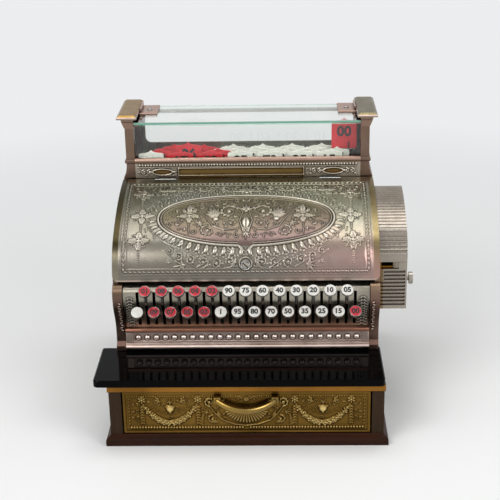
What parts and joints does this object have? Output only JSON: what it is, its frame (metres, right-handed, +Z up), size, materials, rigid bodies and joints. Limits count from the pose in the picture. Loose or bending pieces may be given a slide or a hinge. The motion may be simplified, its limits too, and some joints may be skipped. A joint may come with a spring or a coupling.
{
  "type": "ticket register",
  "caption": "Antique key-press till with relief-cast hood, two rows of round keys, pop-up flags, a side ticket printer and a brass-fronted wooden drawer.",
  "frame": {"origin": "centre of the base board's underside", "axes": "+Z up, the keyboard and drawer face -Y, +X to the operator's right, where the ticket printer is"},
  "size_m": [0.5002, 0.4185, 0.445],
  "materials": {
    "mahogany": "dark, polished",
    "tray_wood": "plain, oiled",
    "black_slab": "black lacquer, high gloss",
    "polished_brass": "cast, polished, aged",
    "antique_brass": "cast, antique copper tone",
    "antique_nickel": "brass under worn nickel plate",
    "nickel": "nickel plate, satin",
    "steel": "bright",
    "iron": "black, cast",
    "clear_glass": "clear, green at its edge",
    "flag_white": "cream enamel",
    "flag_red": "red enamel",
    "key_white": "cream face in a bright rim",
    "key_red": "red face in a bright rim",
    "paper": "paper roll"
  },
  "bodies": {
    "machine": {"base_board": "mahogany", "drawer_case": "mahogany", "drawer_top_rail": "polished_brass", "counter_slab": "black_slab", "machine_base": "iron", "left_side_panel": "antique_nickel", "right_side_panel": "antique_nickel", "back_cover": "antique_nickel", "hood_hinge_rod": "steel", "keyboard_plate": "nickel", "lower_rail": "antique_brass", "top_rail": "antique_brass", "left_pillar": "antique_brass", "right_pillar": "antique_brass", "top_glass": "clear_glass", "window_panes": "clear_glass", "glass_clips": "antique_brass", "key_shaft": "steel", "flag_guide": "iron", "printer_housing": "nickel", "resting_flags": "flag_white"},
    "drawer": {"drawer_front": "polished_brass", "drawer_pull": "polished_brass", "drawer_box": "mahogany", "coin_tray": "tray_wood"},
    "hood_lid": {"hood": "antique_nickel"},
    "lock_barrel": {"hood_lock": "nickel"},
    "printer_lid": {"printer_cover": "nickel"},
    "ticket_roll": {"paper_roll": "paper"},
    "feed_roller": {"feed_knob": "nickel"},
    "up_flag": {"raised_flag": "flag_red"},
    "moving_flag": {"keyed_flag": "flag_white"},
    "upper_key_01_body": {"upper_key_01": "key_red"},
    "upper_key_02_body": {"upper_key_02": "key_red"},
    "upper_key_03_body": {"upper_key_03": "key_red"},
    "upper_key_04_body": {"upper_key_04": "key_red"},
    "upper_key_05_body": {"upper_key_05": "key_red"},
    "upper_key_06_body": {"upper_key_06": "key_white"},
    "upper_key_07_body": {"upper_key_07": "key_white"},
    "upper_key_08_body": {"upper_key_08": "key_white"},
    "upper_key_09_body": {"upper_key_09": "key_white"},
    "upper_key_10_body": {"upper_key_10": "key_white"},
    "upper_key_11_body": {"upper_key_11": "key_white"},
    "upper_key_12_body": {"upper_key_12": "key_white"},
    "upper_key_13_body": {"upper_key_13": "key_white"},
    "lower_key_01_body": {"lower_key_01": "key_white"},
    "lower_key_02_body": {"lower_key_02": "key_red"},
    "lower_key_03_body": {"lower_key_03": "key_red"},
    "lower_key_04_body": {"lower_key_04": "key_red"},
    "lower_key_05_body": {"lower_key_05": "key_red"},
    "lower_key_06_body": {"lower_key_06": "key_white"},
    "lower_key_07_body": {"lower_key_07": "key_white"},
    "lower_key_08_body": {"lower_key_08": "key_white"},
    "lower_key_09_body": {"lower_key_09": "key_white"},
    "lower_key_10_body": {"lower_key_10": "key_white"},
    "lower_key_11_body": {"lower_key_11": "key_white"},
    "lower_key_12_body": {"lower_key_12": "key_white"},
    "lower_key_13_body": {"lower_key_13": "key_white"},
    "lower_key_14_body": {"lower_key_14": "key_red"}
  },
  "joints": [
    {"name": "drawer_slide", "type": "slide", "parent": "machine", "child": "drawer", "axis": [0, -1, 0], "range_m": [0, 0.23]},
    {"name": "hood_hinge", "type": "hinge", "parent": "machine", "child": "hood_lid", "pos_m": [0, 0.082, 0.33], "axis": [-1, 0, 0], "range_deg": [0, 70]},
    {"name": "lock_turn", "type": "hinge", "parent": "hood_lid", "child": "lock_barrel", "pos_m": [0, -0.10174, 0.25665], "axis": [0, -0.9397, 0.342], "range_deg": [0, 90]},
    {"name": "printer_cover_hinge", "type": "hinge", "parent": "machine", "child": "printer_lid", "pos_m": [0.2304, 0.0634, 0.241], "axis": [-1, 0, 0], "range_deg": [0, 60]},
    {"name": "ticket_roll_spin", "type": "hinge", "parent": "machine", "child": "ticket_roll", "pos_m": [0.2304, 0.006, 0.278], "axis": [1, 0, 0], "continuous": true},
    {"name": "feed_knob_spin", "type": "hinge", "parent": "machine", "child": "feed_roller", "pos_m": [0.2304, -0.0065, 0.194], "axis": [1, 0, 0], "continuous": true},
    {"name": "raised_flag_slide", "type": "slide", "parent": "machine", "child": "up_flag", "axis": [0, 0, 1], "range_m": [-0.0425, 0]},
    {"name": "keyed_flag_slide", "type": "slide", "parent": "machine", "child": "moving_flag", "axis": [0, 0, 1], "range_m": [0, 0.0401]},
    {"name": "upper_key_01_press", "type": "hinge", "parent": "machine", "child": "upper_key_01_body", "pos_m": [0, -0.055, 0.2], "axis": [1, 0, 0], "range_deg": [0, 13], "stiffness_Nm_per_rad": 0.5, "springref_deg": -11.46},
    {"name": "upper_key_02_press", "type": "hinge", "parent": "machine", "child": "upper_key_02_body", "pos_m": [0, -0.055, 0.2], "axis": [1, 0, 0], "range_deg": [0, 13], "stiffness_Nm_per_rad": 0.5, "springref_deg": -11.46},
    {"name": "upper_key_03_press", "type": "hinge", "parent": "machine", "child": "upper_key_03_body", "pos_m": [0, -0.055, 0.2], "axis": [1, 0, 0], "range_deg": [0, 13], "stiffness_Nm_per_rad": 0.5, "springref_deg": -11.46},
    {"name": "upper_key_04_press", "type": "hinge", "parent": "machine", "child": "upper_key_04_body", "pos_m": [0, -0.055, 0.2], "axis": [1, 0, 0], "range_deg": [0, 13], "stiffness_Nm_per_rad": 0.5, "springref_deg": -11.46},
    {"name": "upper_key_05_press", "type": "hinge", "parent": "machine", "child": "upper_key_05_body", "pos_m": [0, -0.055, 0.2], "axis": [1, 0, 0], "range_deg": [0, 13], "stiffness_Nm_per_rad": 0.5, "springref_deg": -11.46},
    {"name": "upper_key_06_press", "type": "hinge", "parent": "machine", "child": "upper_key_06_body", "pos_m": [0, -0.055, 0.2], "axis": [1, 0, 0], "range_deg": [0, 13], "stiffness_Nm_per_rad": 0.5, "springref_deg": -11.46},
    {"name": "upper_key_07_press", "type": "hinge", "parent": "machine", "child": "upper_key_07_body", "pos_m": [0, -0.055, 0.2], "axis": [1, 0, 0], "range_deg": [0, 13], "stiffness_Nm_per_rad": 0.5, "springref_deg": -11.46},
    {"name": "upper_key_08_press", "type": "hinge", "parent": "machine", "child": "upper_key_08_body", "pos_m": [0, -0.055, 0.2], "axis": [1, 0, 0], "range_deg": [0, 13], "stiffness_Nm_per_rad": 0.5, "springref_deg": -11.46},
    {"name": "upper_key_09_press", "type": "hinge", "parent": "machine", "child": "upper_key_09_body", "pos_m": [0, -0.055, 0.2], "axis": [1, 0, 0], "range_deg": [0, 13], "stiffness_Nm_per_rad": 0.5, "springref_deg": -11.46},
    {"name": "upper_key_10_press", "type": "hinge", "parent": "machine", "child": "upper_key_10_body", "pos_m": [0, -0.055, 0.2], "axis": [1, 0, 0], "range_deg": [0, 13], "stiffness_Nm_per_rad": 0.5, "springref_deg": -11.46},
    {"name": "upper_key_11_press", "type": "hinge", "parent": "machine", "child": "upper_key_11_body", "pos_m": [0, -0.055, 0.2], "axis": [1, 0, 0], "range_deg": [0, 13], "stiffness_Nm_per_rad": 0.5, "springref_deg": -11.46},
    {"name": "upper_key_12_press", "type": "hinge", "parent": "machine", "child": "upper_key_12_body", "pos_m": [0, -0.055, 0.2], "axis": [1, 0, 0], "range_deg": [0, 13], "stiffness_Nm_per_rad": 0.5, "springref_deg": -11.46},
    {"name": "upper_key_13_press", "type": "hinge", "parent": "machine", "child": "upper_key_13_body", "pos_m": [0, -0.055, 0.2], "axis": [1, 0, 0], "range_deg": [0, 13], "stiffness_Nm_per_rad": 0.5, "springref_deg": -11.46},
    {"name": "lower_key_01_press", "type": "hinge", "parent": "machine", "child": "lower_key_01_body", "pos_m": [0, -0.055, 0.2], "axis": [1, 0, 0], "range_deg": [0, 13], "stiffness_Nm_per_rad": 0.5, "springref_deg": -11.46},
    {"name": "lower_key_02_press", "type": "hinge", "parent": "machine", "child": "lower_key_02_body", "pos_m": [0, -0.055, 0.2], "axis": [1, 0, 0], "range_deg": [0, 13], "stiffness_Nm_per_rad": 0.5, "springref_deg": -11.46},
    {"name": "lower_key_03_press", "type": "hinge", "parent": "machine", "child": "lower_key_03_body", "pos_m": [0, -0.055, 0.2], "axis": [1, 0, 0], "range_deg": [0, 13], "stiffness_Nm_per_rad": 0.5, "springref_deg": -11.46},
    {"name": "lower_key_04_press", "type": "hinge", "parent": "machine", "child": "lower_key_04_body", "pos_m": [0, -0.055, 0.2], "axis": [1, 0, 0], "range_deg": [0, 13], "stiffness_Nm_per_rad": 0.5, "springref_deg": -11.46},
    {"name": "lower_key_05_press", "type": "hinge", "parent": "machine", "child": "lower_key_05_body", "pos_m": [0, -0.055, 0.2], "axis": [1, 0, 0], "range_deg": [0, 13], "stiffness_Nm_per_rad": 0.5, "springref_deg": -11.46},
    {"name": "lower_key_06_press", "type": "hinge", "parent": "machine", "child": "lower_key_06_body", "pos_m": [0, -0.055, 0.2], "axis": [1, 0, 0], "range_deg": [0, 13], "stiffness_Nm_per_rad": 0.5, "springref_deg": -11.46},
    {"name": "lower_key_07_press", "type": "hinge", "parent": "machine", "child": "lower_key_07_body", "pos_m": [0, -0.055, 0.2], "axis": [1, 0, 0], "range_deg": [0, 13], "stiffness_Nm_per_rad": 0.5, "springref_deg": -11.46},
    {"name": "lower_key_08_press", "type": "hinge", "parent": "machine", "child": "lower_key_08_body", "pos_m": [0, -0.055, 0.2], "axis": [1, 0, 0], "range_deg": [0, 13], "stiffness_Nm_per_rad": 0.5, "springref_deg": -11.46},
    {"name": "lower_key_09_press", "type": "hinge", "parent": "machine", "child": "lower_key_09_body", "pos_m": [0, -0.055, 0.2], "axis": [1, 0, 0], "range_deg": [0, 13], "stiffness_Nm_per_rad": 0.5, "springref_deg": -11.46},
    {"name": "lower_key_10_press", "type": "hinge", "parent": "machine", "child": "lower_key_10_body", "pos_m": [0, -0.055, 0.2], "axis": [1, 0, 0], "range_deg": [0, 13], "stiffness_Nm_per_rad": 0.5, "springref_deg": -11.46},
    {"name": "lower_key_11_press", "type": "hinge", "parent": "machine", "child": "lower_key_11_body", "pos_m": [0, -0.055, 0.2], "axis": [1, 0, 0], "range_deg": [0, 13], "stiffness_Nm_per_rad": 0.5, "springref_deg": -11.46},
    {"name": "lower_key_12_press", "type": "hinge", "parent": "machine", "child": "lower_key_12_body", "pos_m": [0, -0.055, 0.2], "axis": [1, 0, 0], "range_deg": [0, 13], "stiffness_Nm_per_rad": 0.5, "springref_deg": -11.46},
    {"name": "lower_key_13_press", "type": "hinge", "parent": "machine", "child": "lower_key_13_body", "pos_m": [0, -0.055, 0.2], "axis": [1, 0, 0], "range_deg": [0, 13], "stiffness_Nm_per_rad": 0.5, "springref_deg": -11.46},
    {"name": "lower_key_14_press", "type": "hinge", "parent": "machine", "child": "lower_key_14_body", "pos_m": [0, -0.055, 0.2], "axis": [1, 0, 0], "range_deg": [0, 13], "stiffness_Nm_per_rad": 0.5, "springref_deg": -11.46}
  ],
  "couplings": [
    {"joint": "keyed_flag_slide", "follows": "upper_key_11_press", "m_per_rad": 0.1765}
  ]
}
